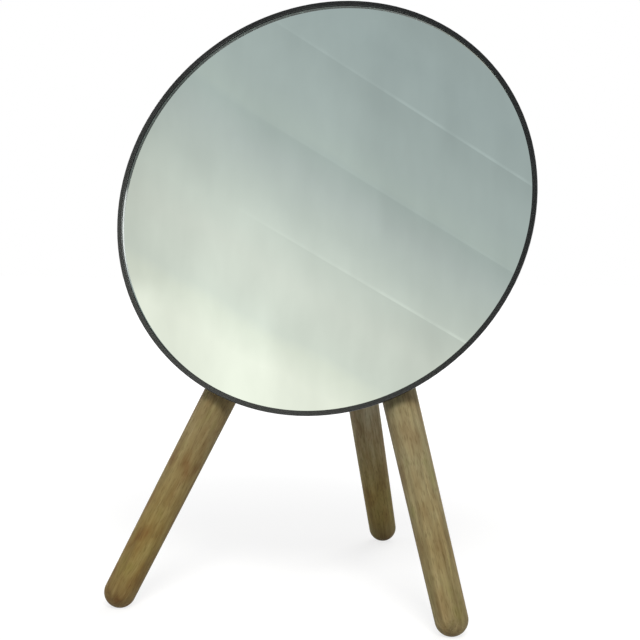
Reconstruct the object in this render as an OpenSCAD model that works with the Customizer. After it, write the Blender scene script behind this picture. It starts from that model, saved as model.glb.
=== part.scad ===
// Round table mirror that leans back on three turned wooden legs.
//
// Millimetres, +Z up. The glass looks towards -Y. The origin lies on the table, under the
// middle of the whole mirror.
//
// The mirror head is drawn lying on its back: its glass looks along +Z, the top of the disc
// is at +Y, and what is behind the rim's front face lies below zero. The legs are screwed
// into a hub on its back at fixed angles, so the plane on which their three feet stand sets
// how far the head leans and how high it is.

/* [Mirror] */
// Outer diameter of the rim
mirror_d = 270; // [220:1:300]
// Width of the rim's front face
lip_w = 3; // [2:0.1:6]
// How far the glass lies behind the rim's front face
glass_inset = 1.2; // [0.3:0.1:2]
// Thickness of the glass
glass_t = 3; // [2:0.5:5]
// Gap between the edge of the glass and the rim
glass_gap = 0.25; // [0.1:0.05:1]
// Ground edge of the glass, front and back
glass_arris = 0.6; // [0.2:0.1:0.9]
// Thickness of the safety film on the back of the glass
film_t = 0.2; // [0.1:0.05:0.5]
// How far the safety film stops short of the edge of the glass
film_margin = 1.5; // [0.5:0.1:5]

/* [Foam tape] */
// Number of foam tape pads between the film and the casing
tape_count = 6; // [3:1:8]
// Thickness of a pad
tape_t = 1; // [0.5:0.1:2]
// Length of a pad
tape_l = 60; // [20:1:70]
// Width of a pad
tape_w = 18; // [8:1:24]
// How far the pads stay inside the film's edge
tape_margin = 14; // [6:1:20]

/* [Casing] */
// Thickness of the back wall
back_wall = 2.2; // [1.6:0.1:4]
// Straight part of the outer wall, at the front
rim_straight = 1; // [0.6:0.1:2]
// Angle by which the outer wall closes in behind the straight part
rim_draft = 27; // [5:1:30]
// Rounding of the rim's front outer edge
front_round = 0.4; // [0.2:0.1:0.6]
// Rounding between the outer wall and the back
back_round = 1.7; // [0.8:0.1:2.5]
// Chamfer in the corner of the tray, under the edge of the film
tray_chamfer = 1; // [0.4:0.1:1.2]
// Margin of the raised pad round the hub's flange
pad_margin = 4; // [2:0.5:10]

/* [Mounting plate] */
// Thickness of the steel plate
plate_t = 2; // [1:0.5:3]
// How far the plate reaches past the hub's flange
plate_margin = 2; // [0:0.5:3]
// Gap between the plate and the wall of its recess
plate_gap = 0.3; // [0.1:0.05:1]
// Diameter of the holes that lighten the plate
plate_hole_d = 22; // [6:1:26]
// Diameter of a clinch nut's head
nut_d = 7.9; // [7:0.1:9]
// Height of a clinch nut's head
nut_h = 1.5; // [1:0.1:3]
// Diameter of a clinch nut's collar
nut_collar_d = 5.4; // [5.2:0.1:6.4]
// Space left between the nuts and the tray's floor
nut_clear = 0.1; // [0:0.1:1]

/* [Hub] */
// How far the hub's centre lies below the centre of the mirror
hub_drop = 14; // [0:1:25]
// Outer diameter of the dome
dome_d = 80; // [74:1:90]
// Wall of the dome
dome_wall = 3; // [2:0.1:5]
// Width of the flange round the dome
flange_w = 10; // [9.5:0.5:16]
// Thickness of the flange
flange_t = 5; // [4:0.5:8]
// Rounding of the flange's edge
flange_round = 1.6; // [0.6:0.1:2.5]
// Thickness of the ribs inside the dome
rib_t = 2.2; // [1.5:0.1:4]
// Wall of the sleeves round the legs
sleeve_wall = 2.8; // [2:0.1:4]
// Depth to which a leg goes into its sleeve
sleeve_l = 26; // [18:1:34]
// Rounding of a sleeve's mouth
sleeve_round = 1; // [0.4:0.1:1.8]
// Gap between a leg and its sleeve
leg_fit = 0.15; // [0.05:0.05:0.5]
// Space between the mouth of a front sleeve and the raised pad
sleeve_gap = 2.05; // [1:0.05:8]

/* [Hub screws] */
// Number of screws
screw_count = 4; // [3:1:5]
// Thread diameter
screw_d = 4; // [3:0.5:4.5]
// Diameter of the screw's head
screw_head_d = 7.5; // [7:0.1:8.5]
// Height of the screw's head
screw_head_h = 2.6; // [2:0.1:3.5]
// Clearance of a screw in its holes and in its nut
screw_fit = 0.1; // [0.05:0.05:0.3]
// Outer diameter of a washer
washer_d = 9; // [8.6:0.1:9.4]
// Thickness of a washer
washer_t = 0.8; // [0.5:0.1:1.5]

/* [Legs] */
// Length of a leg, from its top to its round end
leg_l = 235; // [200:1:280]
// Diameter of a leg at its top
leg_top_d = 23; // [20:0.1:26]
// Diameter of a leg at its foot, which is also the diameter of its round end
foot_d = 19.2; // [16:0.1:20]
// Diameter of the small flat on which a foot stands
foot_flat_d = 5; // [3:0.5:8]
// Chamfer at the top of a leg
leg_chamfer = 0.8; // [0.4:0.1:2]
// Angle by which each front leg spreads sideways
front_splay = 19.26; // [14:0.01:26]
// Gap between the casing's back and the front legs where they pass its edge
leg_gap = 2; // [1:0.1:6]
// Angle between the rear leg and the back of the mirror
rear_pitch = 47.54; // [40:0.01:55]
// How far the front legs' tops lie inside the dome's sides
front_top_side = 12.15; // [8:0.05:15]
// How far the front legs' tops lie above the dome's lower edge
front_top_low = 19.13; // [14:0.01:24]
// How far the rear leg's top lies below the middle of the hub
rear_top_y = 6.39; // [2:0.01:12]
// How far the rear leg's top stands out past the dome
rear_top_out = 6.95; // [3:0.05:15]

/* [Leg bolts and inserts] */
// Diameter of the hanger bolt
bolt_d = 6; // [5:0.5:8]
// Length of the bolt inside the leg
bolt_in_leg = 25; // [16:1:40]
// Length of the bolt inside the insert
bolt_in_insert = 12; // [8:1:14]
// Length of the bolt's point
bolt_point = 4; // [2:0.5:6]
// Outer diameter of the insert
insert_d = 9; // [8.5:0.1:11]
// Length of the insert
insert_l = 14; // [12:1:16]
// Diameter of the insert's flange
insert_flange_d = 13; // [12:0.5:16]
// Thickness of the insert's flange
insert_flange_t = 1; // [0.6:0.1:2]
// Depth of the groove round the insert
insert_groove = 0.4; // [0.2:0.1:0.8]
// Hub material behind the insert
boss_floor = 4; // [2:0.5:6]
// Clearance of the pressed and screwed fits
press_fit = 0.05; // [0.02:0.01:0.1]

/* [Hidden] */
$fn = 96;
arc_steps = 8;  // straight pieces in a drawn quarter round
over = 1;       // how far a cutting shape runs past the face that it opens

black = [0.09, 0.10, 0.10];
silver = [0.80, 0.85, 0.83];
film_blue = [0.55, 0.62, 0.70];
foam_white = [0.90, 0.90, 0.88];
zinc = [0.66, 0.67, 0.68];
brass = [0.75, 0.62, 0.32];
ash = [0.72, 0.60, 0.38];

// The stack behind the rim's front face
mirror_r = mirror_d / 2;
tray_r = mirror_r - lip_w;
glass_back = glass_inset + glass_t;
film_back = glass_back + film_t;
tray_floor = film_back + tape_t;
case_back = tray_floor + back_wall;
glass_r = tray_r - glass_gap;
film_r = glass_r - film_margin;
tape_r = film_r - tape_margin - tape_w / 2;
plate_front = tray_floor + nut_clear + nut_h;
plate_back = plate_front + plate_t;
pad_back = plate_back + back_wall;
pad_rise = pad_back - case_back;

// The hub's rings, from the dome outwards
dome_r = dome_d / 2;
flange_r = dome_r + flange_w;
screw_ring_r = dome_r + flange_w / 2;
pad_r = flange_r + pad_margin;
plate_r = flange_r + plate_margin;
plate_hole_ring_r = dome_r / 2 + nut_d / 4;
screw_l = washer_t + flange_t + back_wall + plate_t + nut_h;

// Legs: radius at a distance below the top, and the sleeve round the top
leg_top_r = leg_top_d / 2;
foot_r = foot_d / 2;
leg_taper = (leg_top_r - foot_r) / (leg_l - foot_r);
sleeve_r = leg_top_r + leg_fit + sleeve_wall;
boss_l = insert_l + boss_floor;
function leg_r_at(below_top) = leg_top_r - leg_taper * below_top;

// A front leg passes the sleeve's mouth and the casing's edge at a named distance from each.
front_top = [dome_r - front_top_side, front_top_low - hub_drop - dome_r];
toward_foot = [sin(front_splay), -cos(front_splay)];
along = front_top * toward_foot;
edge_run = sqrt(along * along - front_top * front_top + mirror_r * mirror_r) - along;
mouth_depth = pad_back + sleeve_gap + sleeve_r;
edge_depth = case_back + leg_gap + leg_r_at(edge_run);
front_slope = (mouth_depth - edge_depth) / (edge_run - sleeve_l);
front_pitch = atan(front_slope);
front_top_depth = mouth_depth + sleeve_l * front_slope;

// Each leg: [sideways angle, angle towards the front, its top centre in the head's frame]
LEFT = [-front_splay, front_pitch, [-front_top.x, front_top.y, -front_top_depth]];
RIGHT = [front_splay, front_pitch, [front_top.x, front_top.y, -front_top_depth]];
REAR = [0, -rear_pitch, [0, -hub_drop - rear_top_y, -pad_back - dome_r - rear_top_out]];
LEGS = [LEFT, RIGHT, REAR];

function leg_run(leg) =
    [sin(leg[0]) * cos(leg[1]), -cos(leg[0]) * cos(leg[1]), sin(leg[1])];
function foot_centre(leg) = leg[2] + (leg_l - foot_r) * leg_run(leg);

// The feet stand on one plane, which gives the lean and the height of the head.
front_foot = foot_centre(RIGHT);
rear_foot = foot_centre(REAR);
lean = atan2(rear_foot.y - front_foot.y, front_foot.z - rear_foot.z);
foot_seat = sqrt(foot_r * foot_r - foot_flat_d * foot_flat_d / 4);
head_h = foot_seat - front_foot.y * cos(lean) - front_foot.z * sin(lean);
function table_y(p) = p.y * sin(lean) - p.z * cos(lean);
head_y = -(table_y(front_foot) + table_y(rear_foot)) / 2;

// Puts what is drawn in the head's frame on the table.
module on_table() {
    translate([0, head_y, head_h]) rotate([90 - lean, 0, 0]) children();
}

// Hub frame: +Z points away from the mirror, and zero is the face of the raised pad.
module behind_pad() {
    translate([0, -hub_drop, -pad_back]) rotate([0, 180, 0]) children();
}

// Leg frame: zero is the middle of the leg's top, and +Z runs down to its foot.
module along_leg(leg) {
    translate(leg[2]) rotate([0, 0, leg[0]]) rotate([90 - leg[1], 0, 0]) children();
}

// A ring of places that starts at the bottom, or midway between two of them with shift 0.5
module ring(r, shift = 0) {
    for (i = [0 : screw_count - 1])
        rotate((i + shift) * 360 / screw_count) translate([0, -r, 0]) children();
}

module at_screws() {
    ring(screw_ring_r) children();
}

function arc(centre, r, from, to) =
    [for (i = [0 : arc_steps]) let (a = from + (to - from) * i / arc_steps)
        centre + r * [cos(a), sin(a)]];

// Centre of the round between the drafted wall and the back
back_round_z = -case_back + back_round;
back_round_x = mirror_r
    + (sin(rim_draft) * (back_round_z + rim_straight) - back_round) / cos(rim_draft);

module tray_profile() {
    polygon(concat(
        [[0, -tray_floor], [0, -case_back]],
        arc([back_round_x, back_round_z], back_round, -90, -rim_draft),
        [[mirror_r, -rim_straight]],
        arc([mirror_r - front_round, -front_round], front_round, 0, 90),
        [[tray_r, 0], [tray_r, tray_chamfer - tray_floor],
            [tray_r - tray_chamfer, -tray_floor]]));
}

module casing() {
    recess_r = plate_r + plate_gap;
    pad_h = pad_rise + back_wall / 2;
    color(black) on_table() difference() {
        union() {
            rotate_extrude() tray_profile();
            translate([0, -hub_drop, -pad_back])
                cylinder(h = pad_h, r1 = pad_r, r2 = pad_r + pad_h);
        }
        translate([0, -hub_drop, -plate_back])
            cylinder(h = plate_back - tray_floor + over, r = recess_r);
        translate([0, -hub_drop, -pad_back - over])
            at_screws() cylinder(h = back_wall + 2 * over, d = screw_d + 2 * screw_fit);
    }
}

module mirror_glass() {
    color(silver) on_table() translate([0, 0, -glass_back]) rotate_extrude() polygon([
        [0, 0], [glass_r - glass_arris, 0], [glass_r, glass_arris],
        [glass_r, glass_t - glass_arris], [glass_r - glass_arris, glass_t], [0, glass_t]]);
}

module safety_film() {
    color(film_blue) on_table() translate([0, 0, -film_back]) cylinder(h = film_t, r = film_r);
}

module tape_pads() {
    color(foam_white) on_table() for (i = [0 : tape_count - 1])
        rotate((i + 0.5) * 360 / tape_count)
            translate([tape_r - tape_w / 2, -tape_l / 2, -tray_floor])
                cube([tape_w, tape_l, tape_t]);
}

module mounting_plate() {
    color(zinc) on_table() translate([0, -hub_drop, -plate_back]) difference() {
        cylinder(h = plate_t, r = plate_r);
        translate([0, 0, -over]) {
            at_screws() cylinder(h = plate_t + 2 * over, d = nut_collar_d + 2 * press_fit);
            ring(plate_hole_ring_r, 0.5) cylinder(h = plate_t + 2 * over, d = plate_hole_d);
        }
    }
}

module plate_nuts() {
    color(zinc) on_table() translate([0, -hub_drop, -plate_back]) at_screws() difference() {
        union() {
            cylinder(h = plate_t + nut_h / 2, d = nut_collar_d);
            translate([0, 0, plate_t]) cylinder(h = nut_h, d = nut_d);
        }
        translate([0, 0, -over])
            cylinder(h = plate_t + nut_h + 2 * over, d = screw_d + 2 * screw_fit);
    }
}

module quarter_round(r, below) {
    rotate_extrude() intersection() {
        circle(r = r);
        translate([0, -below]) square([r, r + below]);
    }
}

module sleeve() {
    rotate_extrude() polygon(concat(
        [[0, -boss_l], [sleeve_r, -boss_l]],
        arc([sleeve_r - sleeve_round, sleeve_l - sleeve_round], sleeve_round, 0, 90),
        [[0, sleeve_l]]));
}

// The room for the leg, the insert's flange and the insert
module leg_room() {
    cylinder(h = sleeve_l + over, r1 = leg_top_r + leg_fit,
        r2 = leg_r_at(sleeve_l + over) + leg_fit);
    translate([0, 0, -insert_flange_t])
        cylinder(h = insert_flange_t + over, d = insert_flange_d + 2 * press_fit);
    translate([0, 0, -insert_l]) cylinder(h = insert_l, d = insert_d + 2 * press_fit);
}

module hub() {
    color(black) on_table() difference() {
        union() {
            behind_pad() {
                difference() {
                    union() {
                        quarter_round(dome_r, 0);
                        rotate_extrude() polygon(concat(
                            [[0, 0], [flange_r, 0]],
                            arc([flange_r - flange_round, flange_t - flange_round],
                                flange_round, 0, 90),
                            [[0, flange_t]]));
                    }
                    quarter_round(dome_r - dome_wall, over);
                }
                intersection() {
                    quarter_round(dome_r - dome_wall / 2, 0);
                    union() {
                        translate([-rib_t / 2, -dome_r, 0]) cube([rib_t, dome_d, dome_r]);
                        translate([-dome_r, -rib_t / 2, 0]) cube([dome_d, rib_t, dome_r]);
                    }
                }
            }
            for (leg = LEGS) along_leg(leg) sleeve();
        }
        for (leg = LEGS) along_leg(leg) leg_room();
        behind_pad() translate([0, 0, -over])
            at_screws() cylinder(h = flange_t + 2 * over, d = screw_d + 2 * screw_fit);
    }
}

module hub_washers() {
    color(zinc) on_table() behind_pad() translate([0, 0, flange_t]) at_screws() difference() {
        cylinder(h = washer_t, d = washer_d);
        translate([0, 0, -over])
            cylinder(h = washer_t + 2 * over, d = screw_d + 2 * screw_fit);
    }
}

// A pan head with a cross recess; the thread is drawn as a plain shank.
module hub_screws() {
    slot_w = screw_head_d / 7;
    slot_l = screw_head_d / 2;
    slot_depth = screw_head_h / 2;
    color(zinc) on_table() behind_pad() translate([0, 0, flange_t + washer_t]) at_screws() {
        translate([0, 0, -screw_l]) cylinder(h = screw_l, d = screw_d);
        difference() {
            rotate_extrude() intersection() {
                square([screw_head_d / 2, screw_head_h]);
                translate([0, screw_head_h - screw_head_d]) circle(r = screw_head_d);
            }
            for (turn = [0, 90]) rotate(turn)
                translate([-slot_l / 2, -slot_w / 2, screw_head_h - slot_depth])
                    cube([slot_l, slot_w, slot_depth + over]);
        }
    }
}

module leg_turning() {
    rotate_extrude() intersection() {
        union() {
            polygon([[0, 0], [leg_top_r - leg_chamfer, 0], [leg_r_at(leg_chamfer), leg_chamfer],
                [foot_r, leg_l - foot_r], [0, leg_l - foot_r]]);
            translate([0, leg_l - foot_r]) circle(r = foot_r);
        }
        square([leg_top_d, leg_l]);
    }
}

module leg(which) {
    color(ash) difference() {
        on_table() along_leg(which) difference() {
            leg_turning();
            translate([0, 0, -over])
                cylinder(h = over + bolt_in_leg - bolt_point, d = bolt_d + 2 * press_fit);
            translate([0, 0, bolt_in_leg - bolt_point])
                cylinder(h = bolt_point + press_fit, r1 = bolt_d / 2 + press_fit, r2 = press_fit);
        }
        translate([-mirror_d, -mirror_d, -foot_d]) cube([2 * mirror_d, 2 * mirror_d, foot_d]);
    }
}

module insert(which) {
    groove_l = insert_l / 4;
    color(brass) on_table() along_leg(which) translate([0, 0, -insert_l]) difference() {
        union() {
            cylinder(h = insert_l, d = insert_d);
            translate([0, 0, insert_l - insert_flange_t])
                cylinder(h = insert_flange_t, d = insert_flange_d);
        }
        translate([0, 0, groove_l]) difference() {
            cylinder(h = groove_l, d = insert_d + over);
            translate([0, 0, -over])
                cylinder(h = groove_l + 2 * over, d = insert_d - 2 * insert_groove);
        }
        translate([0, 0, -over])
            cylinder(h = insert_l + 2 * over, d = bolt_d + 2 * press_fit);
    }
}

// The threads of the hanger bolt are drawn as a plain shank.
module leg_bolt(which) {
    color(zinc) on_table() along_leg(which) {
        translate([0, 0, -bolt_in_insert])
            cylinder(h = bolt_in_insert + bolt_in_leg - bolt_point, d = bolt_d);
        translate([0, 0, bolt_in_leg - bolt_point])
            cylinder(h = bolt_point, r1 = bolt_d / 2, r2 = 0);
    }
}

module leg_left() { leg(LEFT); }
module leg_right() { leg(RIGHT); }
module leg_rear() { leg(REAR); }
module insert_left() { insert(LEFT); }
module insert_right() { insert(RIGHT); }
module insert_rear() { insert(REAR); }
module leg_bolt_left() { leg_bolt(LEFT); }
module leg_bolt_right() { leg_bolt(RIGHT); }
module leg_bolt_rear() { leg_bolt(REAR); }

casing();
mirror_glass();
safety_film();
tape_pads();
mounting_plate();
plate_nuts();
hub();
hub_washers();
hub_screws();
leg_left();
leg_right();
leg_rear();
insert_left();
insert_right();
insert_rear();
leg_bolt_left();
leg_bolt_right();
leg_bolt_rear();
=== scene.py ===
import itertools
import math

import bmesh
import bpy
import numpy as np
from mathutils import Matrix, Vector


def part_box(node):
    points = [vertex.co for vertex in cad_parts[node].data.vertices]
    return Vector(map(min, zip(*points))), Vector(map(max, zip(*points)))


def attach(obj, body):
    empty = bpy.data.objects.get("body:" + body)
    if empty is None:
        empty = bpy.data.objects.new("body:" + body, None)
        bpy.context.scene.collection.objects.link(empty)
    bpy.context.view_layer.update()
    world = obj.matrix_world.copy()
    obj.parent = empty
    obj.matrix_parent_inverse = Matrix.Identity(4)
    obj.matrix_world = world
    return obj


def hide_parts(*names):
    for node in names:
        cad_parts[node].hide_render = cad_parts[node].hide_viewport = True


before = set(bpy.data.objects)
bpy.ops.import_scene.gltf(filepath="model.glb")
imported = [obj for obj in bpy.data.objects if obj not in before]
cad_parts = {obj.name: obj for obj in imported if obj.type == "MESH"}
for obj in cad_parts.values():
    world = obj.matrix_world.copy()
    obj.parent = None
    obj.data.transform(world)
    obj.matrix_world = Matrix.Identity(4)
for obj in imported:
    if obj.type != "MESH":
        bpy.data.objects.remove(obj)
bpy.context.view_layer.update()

MM = 0.001

# The head lies in a frame of its own: +Z out of the glass, +Y to the top of the disc, and zero at
# the rim's front face. Each leg has a frame with zero at the middle of its top and +Z to its foot.
HEAD_LEAN = 18.6333
HEAD_PLACE = (0, -42.0692 * MM, 244.486 * MM)
HEAD = Matrix.Translation(HEAD_PLACE) @ Matrix.Rotation(math.radians(90 - HEAD_LEAN), 4, "X")
OUT_OF_GLASS = HEAD.to_3x3() @ Vector((0, 0, 1))


def leg_frame(top, sideways, forwards):
    """A leg's frame, from its top in the head's frame in mm and its two turns in degrees."""
    return (HEAD @ Matrix.Translation(Vector(top) * MM)
            @ Matrix.Rotation(math.radians(sideways), 4, "Z")
            @ Matrix.Rotation(math.radians(90 - forwards), 4, "X"))


LEG_L = 235 * MM
LEG_FRAMES = {
    "leg_left": leg_frame((-27.85, -34.87, -30.6021), -19.26, 6.36905),
    "leg_right": leg_frame((27.85, -34.87, -30.6021), 19.26, 6.36905),
    "leg_rear": leg_frame((0, -20.39, -58.15), 0, -47.54),
}

# ---- Colour, nodes and materials


def colour(code):
    """A hex colour as written for a screen, as the linear values that the shaders take."""
    channels = [int(code[i:i + 2], 16) / 255 for i in (1, 3, 5)]
    return [c / 12.92 if c <= 0.04045 else ((c + 0.055) / 1.055) ** 2.4 for c in channels] + [1]


def add_node(tree, kind, inputs=None, output=0, stops=None, **settings):
    """Adds a node with its settings and gives one of its outputs. An input is another node's
    output or a value; the stops of a colour ramp are (place, hex colour)."""
    node = tree.nodes.new(kind)
    for name, value in settings.items():
        setattr(node, name, value)
    for name, value in (inputs or {}).items():
        if isinstance(value, bpy.types.NodeSocket):
            tree.links.new(value, node.inputs[name])
        else:
            node.inputs[name].default_value = value
    if stops:
        marks = node.color_ramp.elements
        while len(marks) < len(stops):
            marks.new(0.5)
        for mark, (place, code) in zip(marks, stops):
            mark.position = place
            mark.color = colour(code)
    return node.outputs[output] if node.outputs else None


def new_material(name, turned=False):
    """A bare material, its nodes, and the place on the piece in metres: in the row's frame, or
    along the axis that a turned piece keeps of its own."""
    material = bpy.data.materials.new(name)
    material.use_nodes = True
    tree = material.node_tree
    tree.nodes.clear()
    if turned:
        return material, tree, add_node(tree, "ShaderNodeAttribute", output="Vector",
                                        attribute_name="turning")
    return material, tree, add_node(tree, "ShaderNodeTexCoord", output="Object")


def surfaced(material, inputs):
    """Ends a material with its shader and what feeds it."""
    tree = material.node_tree
    surface = add_node(tree, "ShaderNodeBsdfPrincipled", inputs)
    add_node(tree, "ShaderNodeOutputMaterial", {"Surface": surface})
    return material


def moulded_abs(name, dark, light, gloss_from, gloss_to):
    """ABS from a spark-eroded mould: a fine even grain of pits, satin, a little uneven in gloss.
    The real pits are about 0.1 mm; they are drawn at 0.5 mm so that they show."""
    material, tree, place = new_material(name)
    cloud = add_node(tree, "ShaderNodeTexNoise", {
        "Vector": place, "Scale": 1 / (35 * MM), "Detail": 3})
    grain = add_node(tree, "ShaderNodeTexNoise", {
        "Vector": place, "Scale": 1 / (0.5 * MM), "Detail": 2})
    return surfaced(material, {
        "Base Color": add_node(tree, "ShaderNodeValToRGB", {"Fac": cloud},
                               stops=[(0.35, dark), (0.65, light)]),
        "Roughness": add_node(tree, "ShaderNodeMapRange", {
            "Value": cloud, "To Min": gloss_from, "To Max": gloss_to}),
        "Normal": add_node(tree, "ShaderNodeBump", {
            "Height": grain, "Strength": 0.25, "Distance": 0.05 * MM}),
        "IOR": 1.53, "Specular IOR Level": 0.24})


def silvered_glass():
    """Float glass, silvered: a flat, polished mirror with the slight green of the glass, and the
    faintest haze where it was wiped."""
    material, tree, place = new_material("silvered_float_glass")
    wipes = add_node(tree, "ShaderNodeTexNoise", {
        "Vector": place, "Scale": 1 / (60 * MM), "Detail": 4, "Distortion": 1.5})
    return surfaced(material, {
        "Base Color": add_node(tree, "ShaderNodeValToRGB", {"Fac": wipes},
                               stops=[(0.3, "#eef3f0"), (0.7, "#f1f6f3")]),
        "Roughness": add_node(tree, "ShaderNodeMapRange", {
            "Value": wipes, "To Min": 0.0, "To Max": 0.012}),
        "Metallic": 1.0})


def ground_glass_edge():
    """The edge of the float glass, ground and then polished: the dark grey-green of thick glass,
    with the fine marks of the wheel, drawn 1 mm apart so that they show."""
    material, tree, place = new_material("ground_glass_edge")
    marks = add_node(tree, "ShaderNodeTexNoise", {
        "Vector": place, "Scale": 1 / (1.0 * MM), "Detail": 4})
    return surfaced(material, {
        "Base Color": add_node(tree, "ShaderNodeValToRGB", {"Fac": marks},
                               stops=[(0.35, "#2e3834"), (0.65, "#48544f")]),
        "Roughness": add_node(tree, "ShaderNodeMapRange", {
            "Value": marks, "To Min": 0.04, "To Max": 0.12}),
        "IOR": 1.52, "Specular IOR Level": 0.3})


def mirror_backing_paint():
    """Grey lacquer, roller-coated over the silver: flat, with faint roller streaks."""
    material, tree, place = new_material("mirror_backing_paint")
    streaks = add_node(tree, "ShaderNodeMapping", {"Vector": place, "Scale": (1, 12, 1)})
    coat = add_node(tree, "ShaderNodeTexNoise", {
        "Vector": streaks, "Scale": 1 / (20 * MM), "Detail": 3})
    return surfaced(material, {
        "Base Color": add_node(tree, "ShaderNodeValToRGB", {"Fac": coat},
                               stops=[(0.3, "#6d7375"), (0.7, "#787e80")]),
        "IOR": 1.5, "Roughness": 0.55})


def stained_ash(name, tones, red, lower):
    """Ash, turned and sanded along the grain, stained olive brown under thin satin lacquer; each
    leg is from its own board, and its tones are paler and greyer than the stained wood as painted
    sheen, the right leg's the palest as painted light. Soft bands of early and late wood, cloudy
    and in places reddish where the stain took unevenly, warmer towards the foot, which leaves the
    upper part paler and greyer as painted sheen, and darker on its end grain. The short dark pores
    are about 0.3 mm wide and 5 mm long, drawn up to twice as wide so that they show."""
    material, tree, stock = new_material(name, turned=True)
    along = add_node(tree, "ShaderNodeMapping", {"Vector": stock, "Scale": (1, 1, 0.07)})
    bands = add_node(tree, "ShaderNodeTexNoise", {
        "Vector": along, "Scale": 1 / (3.2 * MM), "Detail": 4, "Roughness": 0.6,
        "Distortion": 0.4})
    wood = add_node(tree, "ShaderNodeValToRGB", {"Fac": bands},
                    stops=list(zip((0.25, 0.45, 0.58, 0.75), tones)))
    patchy = add_node(tree, "ShaderNodeMapping", {"Vector": stock, "Scale": (1, 1, 0.4)})
    stain = add_node(tree, "ShaderNodeTexNoise", {
        "Vector": patchy, "Scale": 1 / (9 * MM), "Detail": 3})
    took = add_node(tree, "ShaderNodeValToRGB", {"Fac": stain}, stops=[
        (0.32, red), (0.46, "#f8f3ee"), (0.56, "#ffffff"), (0.7, "#eef4e2")])
    height = add_node(tree, "ShaderNodeSeparateXYZ", {"Vector": stock}, output="Z")
    # The legs lie whole metres apart in the stock, so the rest is the place on the leg
    on_leg = add_node(tree, "ShaderNodeMath", {0: height}, operation="FRACT")
    down_leg = add_node(tree, "ShaderNodeMapRange", {"Value": on_leg, "From Max": LEG_L})
    # Warmer lower down and darker at the end grain; the upper part is left paler and greyer, as
    # painted sheen
    foot_warmth_and_top_sheen = add_node(tree, "ShaderNodeValToRGB", {"Fac": down_leg}, stops=[
        (0.5, "#ffffff"), (0.8, lower), (0.9, lower), (1.0, "#ece2d2")])
    for layer in (took, foot_warmth_and_top_sheen):
        wood = add_node(tree, "ShaderNodeMix", {0: 1.0, 6: wood, 7: layer}, output=2,
                        data_type="RGBA", blend_type="MULTIPLY")
    lines = add_node(tree, "ShaderNodeMapping", {"Vector": stock, "Scale": (1, 1, 0.12)})
    fleck = add_node(tree, "ShaderNodeTexNoise", {
        "Vector": lines, "Scale": 1 / (0.6 * MM), "Detail": 1})
    pores = add_node(tree, "ShaderNodeMapRange", {
        "Value": fleck, "From Min": 0.55, "From Max": 0.68, "To Min": 0.0, "To Max": 0.38})
    return surfaced(material, {
        "Base Color": add_node(tree, "ShaderNodeMix", {0: pores, 6: wood, 7: colour("#4d3a20")},
                               output=2, data_type="RGBA"),
        "Roughness": add_node(tree, "ShaderNodeMapRange", {
            "Value": bands, "To Min": 0.58, "To Max": 0.7}),
        "Normal": add_node(tree, "ShaderNodeBump", {
            "Height": pores, "Strength": 0.2, "Distance": 0.1 * MM}, invert=True),
        "IOR": 1.5, "Specular IOR Level": 0.15,
        "Coat Weight": 0.02, "Coat Roughness": 0.5, "Coat IOR": 1.5})


def plated_metal(name, dark, light, rough_from, rough_to):
    """Turned or pressed metal, plated or bright: fine soft unevenness in tone and gloss."""
    material, tree, place = new_material(name)
    bath = add_node(tree, "ShaderNodeTexNoise", {
        "Vector": place, "Scale": 1 / (4 * MM), "Detail": 4})
    return surfaced(material, {
        "Base Color": add_node(tree, "ShaderNodeValToRGB", {"Fac": bath},
                               stops=[(0.3, dark), (0.7, light)]),
        "Roughness": add_node(tree, "ShaderNodeMapRange", {
            "Value": bath, "To Min": rough_from, "To Max": rough_to}),
        "Metallic": 1.0})


def soft_sheet(name, grain, dark, light, roughness):
    """Sheet goods hidden behind the glass: foam with its cells, or film with its faint ripple.
    The foam's real cells are about 0.3 mm; they are drawn at 1.2 mm so that they show."""
    material, tree, place = new_material(name)
    cells = add_node(tree, "ShaderNodeTexNoise", {
        "Vector": place, "Scale": 1 / grain, "Detail": 3})
    return surfaced(material, {
        "Base Color": add_node(tree, "ShaderNodeValToRGB", {"Fac": cells},
                               stops=[(0.35, dark), (0.65, light)]),
        "Normal": add_node(tree, "ShaderNodeBump", {
            "Height": cells, "Strength": 0.3, "Distance": grain / 8}),
        "Roughness": roughness})


case_black = moulded_abs("moulded_abs_casing", "#0f1011", "#141516", 0.26, 0.32)
hub_black = moulded_abs("moulded_abs_hub", "#161718", "#1c1d1e", 0.36, 0.44)
silver = silvered_glass()
glass_edge = ground_glass_edge()
backing = mirror_backing_paint()
ASH = {
    # Each leg's tones are paler and greyer than the stained wood, as painted sheen, the right leg's
    # the palest, as painted light; its last colour warms the lower leg, which leaves the upper part
    # paler as painted sheen
    "leg_left": stained_ash("stained_ash_left", ("#6b5c43", "#7d6e4b", "#867854", "#958966"),
                            "#dbc4b8", "#fffada"),
    "leg_right": stained_ash("stained_ash_right", ("#766c4f", "#898061", "#968d6b", "#a69d7d"),
                             "#ebdfd7", "#efe7d6"),
    "leg_rear": stained_ash("stained_ash_rear", ("#726850", "#847b5e", "#8f866c", "#9f987e"),
                            "#e4d6ca", "#fff1b8"),
}
zinc = plated_metal("zinc_plated_steel", "#a3a6a8", "#b6b8b9", 0.3, 0.42)
brass = plated_metal("turned_brass", "#b09452", "#c4a863", 0.25, 0.35)
foam = soft_sheet("closed_cell_foam", 1.2 * MM, "#d9d8d2", "#e6e5e0", 0.9)
film = soft_sheet("polyethylene_film", 14 * MM, "#7f93ab", "#8da0b5", 0.35)

CAD_FINISH = {
    "casing": case_black,
    "safety_film": film, "tape_pads": foam,
    "mounting_plate": zinc, "plate_nuts": zinc, "hub_washers": zinc, "hub_screws": zinc,
    "leg_bolt_left": zinc, "leg_bolt_right": zinc, "leg_bolt_rear": zinc,
    "insert_left": brass, "insert_right": brass, "insert_rear": brass,
}
for node_name, finish in CAD_FINISH.items():
    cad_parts[node_name].material_slots[0].material = finish

# ---- Pieces


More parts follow.
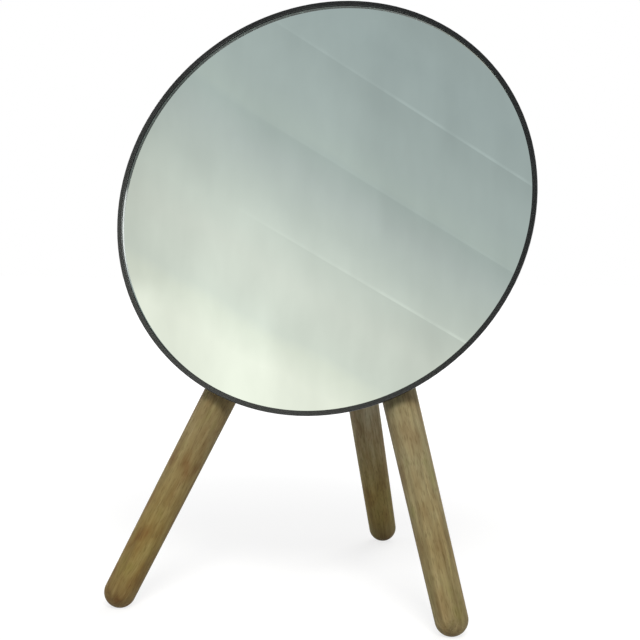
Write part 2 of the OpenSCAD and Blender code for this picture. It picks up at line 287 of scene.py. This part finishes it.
def new_object(name, data):
    """Puts a mesh, lamp or camera into the scene."""
    thing = bpy.data.objects.new(name, data)
    bpy.context.scene.collection.objects.link(thing)
    return thing


def revolved(profile, place, segments, stock=(0, 0, 0)):
    """A closed shape turned round an axis, from (radius, height, finish) points in metres; a
    point's finish is that of the band which starts there. Each corner keeps its place in the
    stock that the piece was turned from, for the grain."""
    shape = bmesh.new()
    rings = []
    for radius, height, _ in profile:
        if radius == 0:
            rings.append([shape.verts.new((0, 0, height))])
            continue
        turns = [2 * math.pi * i / segments for i in range(segments)]
        rings.append([shape.verts.new((radius * math.cos(a), radius * math.sin(a), height))
                      for a in turns])
    for lower, upper, (_, _, finish) in zip(rings, rings[1:], profile):
        for i in range(segments):
            j = (i + 1) % segments
            corners = ([lower[i], lower[j]] if len(lower) > 1 else [lower[0]])
            corners += ([upper[j], upper[i]] if len(upper) > 1 else [upper[0]])
            face = shape.faces.new(corners)
            face.material_index = finish
    turning = shape.verts.layers.float_vector.new("turning")
    for vert in shape.verts:
        vert[turning] = vert.co + Vector(stock)
        vert.co = place @ vert.co
    bmesh.ops.recalc_face_normals(shape, faces=shape.faces)
    return shape


def new_piece(name, shape, finishes, sharp=35):
    """A piece from its shape, smooth up to an angle, on the one body."""
    mesh = bpy.data.meshes.new(name)
    for face in shape.faces:
        face.smooth = True
    shape.to_mesh(mesh)
    shape.free()
    mesh.set_sharp_from_angle(angle=math.radians(sharp))
    for finish in finishes:
        mesh.materials.append(finish)
    piece = new_object(name, mesh)
    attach(piece, "root")
    return piece


# The mirror: 3 mm glass, 1.2 mm behind the rim's face. The glass in front of the silver is clear,
# so it is left out, and the silver lies where it seems to lie when it is seen slantwise through
# the glass, 1.2 mm down. The ground edge stands round it as a ring 0.06 mm thick.
GLASS_R = 131.75 * MM
GLASS_FRONT = -1.2 * MM
GLASS_BACK = -4.2 * MM
SILVER_SEEN = GLASS_FRONT - 1.2 * MM
EDGE_T = 0.06 * MM
BACK_BEVEL = 0.6 * MM
GLASS_SEGMENTS = 256
SILVER, EDGE, PAINT = 0, 1, 2
glass = new_piece("mirror", revolved([
    (0, SILVER_SEEN, SILVER), (GLASS_R / 2, SILVER_SEEN, SILVER),
    (GLASS_R - EDGE_T, SILVER_SEEN, EDGE), (GLASS_R - EDGE_T, GLASS_FRONT, EDGE),
    (GLASS_R, GLASS_FRONT - EDGE_T, EDGE), (GLASS_R, GLASS_BACK + BACK_BEVEL, EDGE),
    (GLASS_R - BACK_BEVEL, GLASS_BACK, PAINT), (0, GLASS_BACK, PAINT),
], HEAD, GLASS_SEGMENTS), [silver, glass_edge, backing])
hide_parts("mirror_glass")

# The legs: 235 mm long, 23 mm thick at the top and 19.2 mm at the round foot
LEG_TOP_R = 11.49 * MM
FOOT_R = 9.59 * MM
LEG_EDGE = 0.8 * MM
FOOT_MIDDLE = LEG_L - FOOT_R
TAPER = (LEG_TOP_R - FOOT_R) / FOOT_MIDDLE
TAPER_STEPS = 24
FOOT_ANGLES = range(0, 89, 4)
LEG_SEGMENTS = 96
leg_profile = [(0, 0, 0), (LEG_TOP_R - LEG_EDGE, 0, 0)]
for step in range(TAPER_STEPS):
    height = LEG_EDGE + (FOOT_MIDDLE - LEG_EDGE) * step / TAPER_STEPS
    leg_profile.append((LEG_TOP_R - TAPER * height, height, 0))
for angle in FOOT_ANGLES:
    leg_profile.append((FOOT_R * math.cos(math.radians(angle)),
                        FOOT_MIDDLE + FOOT_R * math.sin(math.radians(angle)), 0))
leg_profile.append((0, LEG_L, 0))
for number, (leg_name, place) in enumerate(LEG_FRAMES.items()):
    # Each leg lies elsewhere in the stock, by whole metres along it and 0.1 m across
    shape = revolved(leg_profile, place, LEG_SEGMENTS, stock=(0, 0.1 * number, number))
    for vert in shape.verts:
        vert.co.z = max(vert.co.z, 0)  # the foot's flat on the table
    leg = new_piece(leg_name + "_turned", shape, [ASH[leg_name]])
    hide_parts(leg_name)

# The hub: one moulding, a dome and its flange with three sleeves that run into it with fillets.
# Its frame has zero in the middle of its base and +Z to the back.
PAD = HEAD @ Matrix.Translation((0, -14 * MM, -11.2 * MM)) @ Matrix.Rotation(math.pi, 4, "Y")
DOME_R = 40 * MM
FLANGE_R = 50 * MM
FLANGE_T = 5 * MM
FLANGE_ROUND = 1.6 * MM
FLANGE_FILLET = 3.5 * MM
SLEEVE_R = 14.45 * MM
SLEEVE_MOUTH = 26 * MM
SLEEVE_ROUND = 1.2 * MM
SLEEVE_FILLET = 7 * MM
PAST_BASE = 3 * MM  # how far the shape goes on below its base before it is cut off there
SKIN_STEP = 0.9 * MM
SKIN_MARGIN = 4 * MM
SKIN_PASSES = 6
LEAST_SLOPE = 0.25
BASE_SPACING = 0.3 * MM
CLOSEST = 0.04 * MM
SLIVER = 0.01 * MM
HUB_SHARP = 40

# What is cut out of it: for each leg a bored hole, which narrows with the leg's taper and ends
# past the mouth, and a room for its insert with the collar; for each screw a hole and a seat
LEG_HOLE_R = 11.65 * MM
LEG_HOLE_MOUTH_R = 11.43 * MM
LEG_HOLE_END = 27 * MM
INSERT_R = 4.55 * MM
INSERT_END = -14.2 * MM
COLLAR_R = 6.55 * MM
COLLAR_T = 1 * MM
SCREWS = 4
SCREW_CIRCLE_R = 45 * MM
SCREW_HOLE_R = 2.1 * MM
SCREW_HOLE_END = -1 * MM
SEAT = FLANGE_T - 0.06 * MM  # a hair into the flange, for a clean cut
SEAT_R = 5 * MM
SEAT_TOP = 14 * MM
SEAT_TOP_R = 5.6 * MM
SCREW_SEGMENTS = 48


def seen_from(place, points):
    """Points in another frame, as distances from its axis and heights along it."""
    turn = np.array(place.inverted())
    local = points @ turn[:3, :3].T + turn[:3, 3]
    return np.hypot(local[:, 0], local[:, 1]), local[:, 2]


def round_drum(across_axis, height, radius, low, high, corner):
    """Distance to a drum with rounded corners, below zero inside it."""
    out = across_axis - (radius - corner)
    up = np.abs(height - (low + high) / 2) - ((high - low) / 2 - corner)
    return (np.minimum(np.maximum(out, up), 0)
            + np.hypot(np.maximum(out, 0), np.maximum(up, 0)) - corner)


def filleted(first, second, fillet):
    """Two shapes run together with a fillet between them."""
    near = np.maximum(fillet - np.abs(first - second), 0) / fillet
    return np.minimum(first, second) - near * near * fillet / 4


def hub_face(points):
    """Distance to the outside of the hub, below zero inside it."""
    out, height = seen_from(PAD, points)
    flange = round_drum(out, height, FLANGE_R, -FLANGE_T, FLANGE_T, FLANGE_ROUND)
    body = filleted(np.hypot(out, height) - DOME_R, flange, FLANGE_FILLET)
    for place in LEG_FRAMES.values():
        root = (place.inverted() @ PAD.translation).z  # where it passes the dome's middle
        across_leg, along_leg = seen_from(place, points)
        behind = np.maximum(root - along_leg, 0)
        mouth = round_drum(across_leg, along_leg, SLEEVE_R, -SLEEVE_MOUTH, SLEEVE_MOUTH,
                           SLEEVE_ROUND)
        sleeve = np.where(along_leg < 0, np.hypot(across_leg, behind) - SLEEVE_R, mouth)
        body = filleted(body, sleeve, SLEEVE_FILLET)
    return np.maximum(body, -height - PAST_BASE)


def skin(distance, low, high, step):
    """A skin of four-sided faces round a shape, with its corners brought onto the shape."""
    axes = [np.arange(a, b + step, step) for a, b in zip(low, high)]
    grid = np.stack(np.meshgrid(*axes, indexing="ij"), axis=-1)
    inside = (distance(grid.reshape(-1, 3)) < 0).reshape(grid.shape[:3])
    cells = np.array(inside.shape) - 1
    filled = sum(inside[tuple(slice(c, c + n) for c, n in zip(corner, cells))].astype(int)
                 for corner in itertools.product((0, 1), repeat=3))
    on_face = (filled > 0) & (filled < 8)
    number = np.full(cells, -1)
    number[on_face] = np.arange(on_face.sum())
    corners = np.array(low) + (np.argwhere(on_face) + 0.5) * step
    reach = step / 50
    for _ in range(SKIN_PASSES):
        away = distance(corners)
        slope = np.stack([distance(corners + reach * way) - away for way in np.eye(3)],
                         axis=1) / reach
        steepness = np.maximum((slope * slope).sum(axis=1), LEAST_SLOPE)
        corners -= (away / steepness)[:, None] * slope
    faces = []
    for way in np.eye(3, dtype=int):
        side, other = np.roll(way, 1), np.roll(way, 2)
        here = inside[tuple(slice(0, n + 1 - w) for n, w in zip(cells, way))]
        there = inside[tuple(slice(w, n + 1) for n, w in zip(cells, way))]
        for entering in (True, False):
            at = np.argwhere((here != there) & (there == entering))
            ring = [at, at - side, at - side - other, at - other]
            quads = np.stack([number[tuple(place.T)] for place in ring], axis=1)
            faces += (quads if entering else quads[:, ::-1]).tolist()
    return corners, faces


def without_slivers(shape):
    """Draws corners together that a cut has left too close to each other."""
    bmesh.ops.remove_doubles(shape, verts=shape.verts, dist=CLOSEST)
    bmesh.ops.dissolve_degenerate(shape, edges=shape.edges, dist=SLIVER)
    stray = [edge for edge in shape.edges if edge.is_wire]
    bmesh.ops.delete(shape, geom=stray, context="EDGES")


def hub_blank():
    """The hub's outside, cut off flat at its base."""
    low, high = (np.array(corner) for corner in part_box("hub"))
    corners, faces = skin(hub_face, low - SKIN_MARGIN, high + SKIN_MARGIN, SKIN_STEP)
    shape = bmesh.new()
    verts = [shape.verts.new(corner) for corner in corners]
    for face in faces:
        shape.faces.new([verts[i] for i in face])
    bmesh.ops.bisect_plane(shape, geom=shape.verts[:] + shape.edges[:] + shape.faces[:],
                           plane_co=PAD.translation, plane_no=OUT_OF_GLASS, clear_outer=True)
    base_rim = [vert for vert in shape.verts if vert.is_boundary]
    bmesh.ops.remove_doubles(shape, verts=base_rim, dist=BASE_SPACING)
    without_slivers(shape)
    bmesh.ops.holes_fill(shape, edges=[edge for edge in shape.edges if edge.is_boundary])
    bmesh.ops.recalc_face_normals(shape, faces=shape.faces)
    return shape


def hub_rooms():
    """All that is cut out of the hub, as one mesh."""
    cutters = [revolved([
        (0, INSERT_END, 0), (INSERT_R, INSERT_END, 0), (INSERT_R, -COLLAR_T, 0),
        (COLLAR_R, -COLLAR_T, 0), (COLLAR_R, 0, 0), (LEG_HOLE_R, 0, 0),
        (LEG_HOLE_MOUTH_R, LEG_HOLE_END, 0), (0, LEG_HOLE_END, 0),
    ], place, LEG_SEGMENTS) for place in LEG_FRAMES.values()]
    for i in range(SCREWS):
        place = (PAD @ Matrix.Rotation(i * 2 * math.pi / SCREWS, 4, "Z")
                 @ Matrix.Translation((0, -SCREW_CIRCLE_R, 0)))
        cutters.append(revolved([
            (0, SCREW_HOLE_END, 0), (SCREW_HOLE_R, SCREW_HOLE_END, 0), (SCREW_HOLE_R, SEAT, 0),
            (SEAT_R, SEAT, 0), (SEAT_TOP_R, SEAT_TOP, 0), (0, SEAT_TOP, 0),
        ], place, SCREW_SEGMENTS))
    rooms = bmesh.new()
    for cutter in cutters:
        part = bpy.data.meshes.new("room")
        cutter.to_mesh(part)
        cutter.free()
        rooms.from_mesh(part)
        bpy.data.meshes.remove(part)
    mesh = bpy.data.meshes.new("rooms")
    rooms.to_mesh(mesh)
    rooms.free()
    return mesh


def moulded_hub():
    """The hub's piece: its outside, with the rooms cut out of it."""
    hub = new_piece("hub_moulded", hub_blank(), [hub_black], sharp=HUB_SHARP)
    cut_away = new_object("rooms", hub_rooms())
    boolean = hub.modifiers.new("rooms", "BOOLEAN")
    boolean.operation = "DIFFERENCE"
    boolean.solver = "EXACT"
    boolean.object = cut_away
    bpy.context.view_layer.update()
    cut = bpy.data.meshes.new_from_object(hub.evaluated_get(bpy.context.evaluated_depsgraph_get()))
    hub.modifiers.clear()
    bpy.data.objects.remove(cut_away)
    shape = bmesh.new()
    shape.from_mesh(cut)
    without_slivers(shape)
    # Well-shaped triangles, so that none without area is left for the export to make
    bmesh.ops.triangulate(shape, faces=shape.faces, quad_method="BEAUTY", ngon_method="BEAUTY")
    without_slivers(shape)
    shape.to_mesh(cut)
    shape.free()
    cut.name = "hub_moulded"
    cut.set_sharp_from_angle(angle=math.radians(HUB_SHARP))
    hub.data = cut
    return hub


hub = moulded_hub()
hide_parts("hub")

# ---- Camera: level with the mirror, to the right of its middle


def looking(place, target):
    """A frame at a place that looks at a target, with its top upwards."""
    return (Matrix.Translation(place)
            @ (Vector(target) - Vector(place)).to_track_quat("-Z", "Y").to_matrix().to_4x4())


CAMERA_PLACE = (0.2813, -0.9440, 0.2376)
CAMERA_AIM = (0.00084, -0.04197, 0.17088)
CAMERA_ROLL = 0.195
camera_lens = bpy.data.cameras.new("camera")
camera_lens.lens = 85.81
camera_lens.sensor_width = 36
camera = new_object("camera", camera_lens)
camera.matrix_world = (looking(CAMERA_PLACE, CAMERA_AIM)
                       @ Matrix.Rotation(math.radians(CAMERA_ROLL), 4, "Z"))
bpy.context.scene.camera = camera

# ---- World: white, and for reflections the panelled wall that the glass faces, with what lights it

# The wall's directions are fixed, as the glass shows them to someone at the camera
WALL_WAYS = {}
for way, in_view in (("to_right", (1, 0, 0)), ("to_top", (0, 1, 0)), ("facing", (0, 0, -1))):
    seen = camera.matrix_world.to_3x3() @ Vector(in_view)
    WALL_WAYS[way] = seen - 2 * seen.dot(OUT_OF_GLASS) * OUT_OF_GLASS

# Tones down the wall, from grey to cream, with places counted in boards
WALL_TONES = [(-0.4, "#9faaaa"), (0.6, "#a8b2b0"), (0.93, "#adb7b3"), (1.03, "#abb5b2"),
              (1.3, "#b3bbb8"), (1.7, "#bfc6c0"), (2.03, "#ced4cc"), (2.4, "#d5d9d0"),
              (2.95, "#dadfd5"), (3.08, "#e3e7da"), (3.35, "#eff1e4")]
TONES_FROM, TONES_TO = -0.5, 4.0

# Each line is a name, a calculation and what goes into it: numbers, or the names of earlier
# lines. EASED is a smooth step of a value: where it starts and ends, and from what to what it
# goes, which is from 0 to 1 where nothing else is said.
WALL_PLACES = [
    # Places on the wall, with 1 as far to the side as it is away
    ("away", "MAXIMUM", "facing", 0.25),
    ("across", "DIVIDE", "to_right", "away"),
    ("upward", "DIVIDE", "to_top", "away"),
    # Boards that run down to the right and narrow a little
    ("top_edge", "MULTIPLY_ADD", "across", -0.64, 0.1765),
    ("down", "SUBTRACT", "top_edge", "upward"),
    ("board_width", "MULTIPLY_ADD", "across", -0.025, 0.0679),
    ("course", "DIVIDE", "down", "board_width"),
]
WALL_LIGHT = [
    ("blotchy", "MULTIPLY_ADD", "blotches", 0.28, -0.14),
    ("depth", "ADD", "course", "blotchy"),
    # Each board is a little darker under the one above it
    ("on_board", "FRACT", "course"),
    ("below_edge", "EASED", "on_board", 0.0, 0.5),
    ("shade", "MULTIPLY_ADD", "below_edge", 0.055, -0.04),
    # It has a pale edge in places, palest at the right, and hardly any on the second board
    ("lower_edge", "EASED", "on_board", 0.955, 0.985),
    ("in_places", "EASED", "streaks", 0.35, 0.6, 0.3),
    ("edge", "MULTIPLY", "lower_edge", "in_places"),
    ("course_less_one", "SUBTRACT", "course", 1.0),
    ("from_second", "ABSOLUTE", "course_less_one"),
    ("by_board", "MULTIPLY_ADD", "from_second", 0.085, 0.02),
    ("by_side", "EASED", "across", -0.03, 0.1, 0.4, 1.3),
    ("paleness", "MULTIPLY", "by_board", "by_side"),
    ("edge_and_shade", "MULTIPLY_ADD", "edge", "paleness", "shade"),
    # Both show from the middle to the right, and not on the lowest boards
    ("right_part", "EASED", "across", -0.07, 0.0),
    ("upper_part", "EASED", "course", 2.3, 2.8, 1.0, 0.0),
    ("clear_part", "MULTIPLY", "right_part", "upper_part"),
    ("relief", "MULTIPLY", "edge_and_shade", "clear_part"),
    # The wall is dimmer at the far left and a little at the right
    ("left_dim", "EASED", "across", -0.15, -0.06, -0.17, 0.08),
    ("right_dim", "EASED", "across", 0.015, 0.05, 0.0, -0.06),
    ("side_dim", "ADD", "left_dim", "right_dim"),
    # The light from below reaches further up at the left than at the right
    ("low", "EASED", "upward", 0.02, -0.012),
    ("left_start", "EASED", "across", -0.075, -0.055),
    ("left_end", "EASED", "across", -0.04, -0.025, 0.09, 0.0),
    ("lit_left", "MULTIPLY", "left_start", "left_end"),
    ("right_less", "EASED", "across", -0.035, -0.005, 0.0, -0.075),
    ("slant", "ADD", "lit_left", "right_less"),
    ("edge_low", "EASED", "upward", 0.03, 0.015),
    ("edge_left", "EASED", "across", -0.095, -0.115, 0.0, 0.11),
    ("lit_edge", "MULTIPLY", "edge_low", "edge_left"),
    ("from_below", "MULTIPLY_ADD", "low", "slant", "lit_edge"),
    ("dim", "ADD", "side_dim", "from_below"),
    ("mottle", "MULTIPLY_ADD", "streaks", 0.24, 0.88),
    ("relief_and_dim", "ADD", "relief", "dim"),
    ("level", "ADD", "relief_and_dim", "mottle"),
    # White round about the wall
    ("beyond", "EASED", "from_wall", 0.3, 0.6),
    # A lit screen low on the left, in two parts with a post between them
    ("slantwise", "ADD", "across", "upward"),
    ("low_left", "MULTIPLY_ADD", "slantwise", -0.7071, 0.0555),
    ("screen_start", "EASED", "low_left", 0.145, 0.2),
    ("screen_end", "EASED", "low_left", 0.26, 0.34, 12.0, 0.0),
    ("screen", "MULTIPLY", "screen_start", "screen_end"),
    ("post_across", "MULTIPLY_ADD", "across", 0.887, 0.084),
    ("from_post", "MULTIPLY_ADD", "upward", -0.46, "post_across"),
    ("off_post", "ABSOLUTE", "from_post"),
    ("post_gap", "EASED", "off_post", 0.035, 0.07),
    ("screens", "MULTIPLY_ADD", "screen", "post_gap", 1.0),
    # A window on the right
    ("window_start", "EASED", "across", 0.12, 0.8),
    ("window_end", "EASED", "across", 0.93, 1.02, 6.0, 0.0),
    ("pane", "MULTIPLY", "window_start", "window_end"),
    ("above_middle", "SUBTRACT", "upward", 0.18),
    ("off_middle", "ABSOLUTE", "above_middle"),
    ("pane_height", "EASED", "off_middle", 0.14, 0.2, 1.0, 0.0),
    ("bright", "MULTIPLY_ADD", "pane", "pane_height", "screens"),
]
WHITE = (1, 1, 1, 1)
AMBIENT = (0.46, 0.46, 0.46, 1)

world = bpy.data.worlds.new("studio")
bpy.context.scene.world = world
world.use_nodes = True
room = world.node_tree
room.nodes.clear()


def work_out(values, lines):
    """Adds the nodes of a table of calculations, and their outputs to the values by name."""
    for name, calculation, *parts in lines:
        inputs = {i: values.get(part, part) for i, part in enumerate(parts)}
        if calculation == "EASED":
            values[name] = add_node(room, "ShaderNodeMapRange", inputs,
                                    interpolation_type="SMOOTHSTEP")
        else:
            values[name] = add_node(room, "ShaderNodeMath", inputs, operation=calculation)


direction = add_node(room, "ShaderNodeTexCoord", output="Generated")
wall = {way: add_node(room, "ShaderNodeVectorMath", {0: direction, 1: vector}, output="Value",
                      operation="DOT_PRODUCT") for way, vector in WALL_WAYS.items()}
work_out(wall, WALL_PLACES)
wall_place = add_node(room, "ShaderNodeCombineXYZ", {0: wall["across"], 1: wall["upward"]})
stretched = add_node(room, "ShaderNodeMapping", {"Vector": wall_place, "Scale": (1, 0.35, 1)})
wall["streaks"] = add_node(room, "ShaderNodeTexNoise", {
    "Vector": stretched, "Scale": 32, "Detail": 3, "Roughness": 0.55})
wall["blotches"] = add_node(room, "ShaderNodeTexNoise", {
    "Vector": wall_place, "Scale": 14, "Detail": 2})
wall["from_wall"] = add_node(room, "ShaderNodeVectorMath", {0: wall_place, 1: (0.06, 0.12, 0)},
                             output="Value", operation="DISTANCE")
work_out(wall, WALL_LIGHT)
depth_share = add_node(room, "ShaderNodeMapRange", {
    "Value": wall["depth"], "From Min": TONES_FROM, "From Max": TONES_TO})
tones = add_node(room, "ShaderNodeValToRGB", {"Fac": depth_share}, stops=[
    ((place - TONES_FROM) / (TONES_TO - TONES_FROM), code) for place, code in WALL_TONES])
panelled = add_node(room, "ShaderNodeVectorMath", {0: tones, "Scale": wall["level"]},
                    operation="SCALE")
around = add_node(room, "ShaderNodeMix", {0: wall["beyond"], 6: panelled, 7: WHITE}, output=2,
                  data_type="RGBA")
surroundings = add_node(room, "ShaderNodeVectorMath", {0: around, "Scale": wall["bright"]},
                        operation="SCALE")

# Reflections see the wall, the camera sees white, and the rest is even ambient light
rays = add_node(room, "ShaderNodeLightPath").node.outputs
in_camera = add_node(room, "ShaderNodeMath", {
    0: rays["Is Camera Ray"], 1: rays["Is Transmission Ray"]}, operation="ADD")
lit = add_node(room, "ShaderNodeMix", {0: rays["Is Glossy Ray"], 6: AMBIENT, 7: surroundings},
               output=2, data_type="RGBA")
shown = add_node(room, "ShaderNodeMix", {0: in_camera, 6: lit, 7: WHITE}, output=2,
                 data_type="RGBA")
sky = add_node(room, "ShaderNodeBackground", {"Color": shown})
add_node(room, "ShaderNodeOutputWorld", {"Surface": sky})

# ---- Soft lamps, which reflections don't see: a name, a place, a width, a power and a tint

LAMPS = [
    ("lamp_front", (0.6, -1.5, 1.55), 0.7, 31, "#fffdf8"),
    ("lamp_side", (-1.6, -0.5, 0.7), 1.0, 1.2, "#fbfdff"),
    ("lamp_back", (0.2, 1.8, 1.3), 1.2, 14, "#ffffff"),
]
LAMPS_AIM = (0, 0, 0.15)
for name, place, width, power, tint in LAMPS:
    light = bpy.data.lights.new(name, "AREA")
    light.shape = "SQUARE"
    light.size = width
    light.energy = power
    light.color = colour(tint)[:3]
    lamp = new_object(name, light)
    lamp.matrix_world = looking(place, LAMPS_AIM)
    lamp.visible_glossy = False

# ---- Floor


def studio_vinyl():
    """White studio vinyl, matt: the camera and reflections see it as white as the backdrop, with
    the soft shadow, and onto the object it throws back the light of a pale grey."""
    material, tree, place = new_material("white_studio_vinyl")
    mottle = add_node(tree, "ShaderNodeTexNoise", {
        "Vector": place, "Scale": 1 / (80 * MM), "Detail": 2})
    tone = add_node(tree, "ShaderNodeValToRGB", {"Fac": mottle},
                    stops=[(0.4, "#c4c4c4"), (0.6, "#c9c9c9")])
    matt = add_node(tree, "ShaderNodeBsdfDiffuse", {"Color": tone})
    # A grey that takes the shadow, and a glow that brings it up to white, full from 1.2 m out
    shade = add_node(tree, "ShaderNodeBsdfDiffuse", {"Color": (0.3, 0.3, 0.3, 1)})
    from_middle = add_node(tree, "ShaderNodeVectorMath", {0: place}, output="Value",
                           operation="LENGTH")
    glow = add_node(tree, "ShaderNodeMapRange", {
        "Value": from_middle, "From Min": 0.2, "From Max": 1.2, "To Min": 0.74, "To Max": 1.0})
    white = add_node(tree, "ShaderNodeEmission", {"Strength": glow})
    backdrop = add_node(tree, "ShaderNodeAddShader", {0: shade, 1: white})
    rays = add_node(tree, "ShaderNodeLightPath").node.outputs
    seen = rays["Is Camera Ray"]
    for ray in ("Is Glossy Ray", "Is Transmission Ray"):
        seen = add_node(tree, "ShaderNodeMath", {0: seen, 1: rays[ray]}, operation="ADD")
    both = add_node(tree, "ShaderNodeMixShader", {0: seen, 1: matt, 2: backdrop})
    add_node(tree, "ShaderNodeOutputMaterial", {"Surface": both})
    return material


FLOOR = 4.0
floor_mesh = bpy.data.meshes.new("floor")
floor_mesh.from_pydata([(-FLOOR, -FLOOR, 0), (FLOOR, -FLOOR, 0), (FLOOR, FLOOR, 0),
                        (-FLOOR, FLOOR, 0)], [], [(0, 1, 2, 3)])
floor_mesh.materials.append(studio_vinyl())
floor = new_object("floor", floor_mesh)

bpy.context.scene.view_settings.view_transform = "Standard"
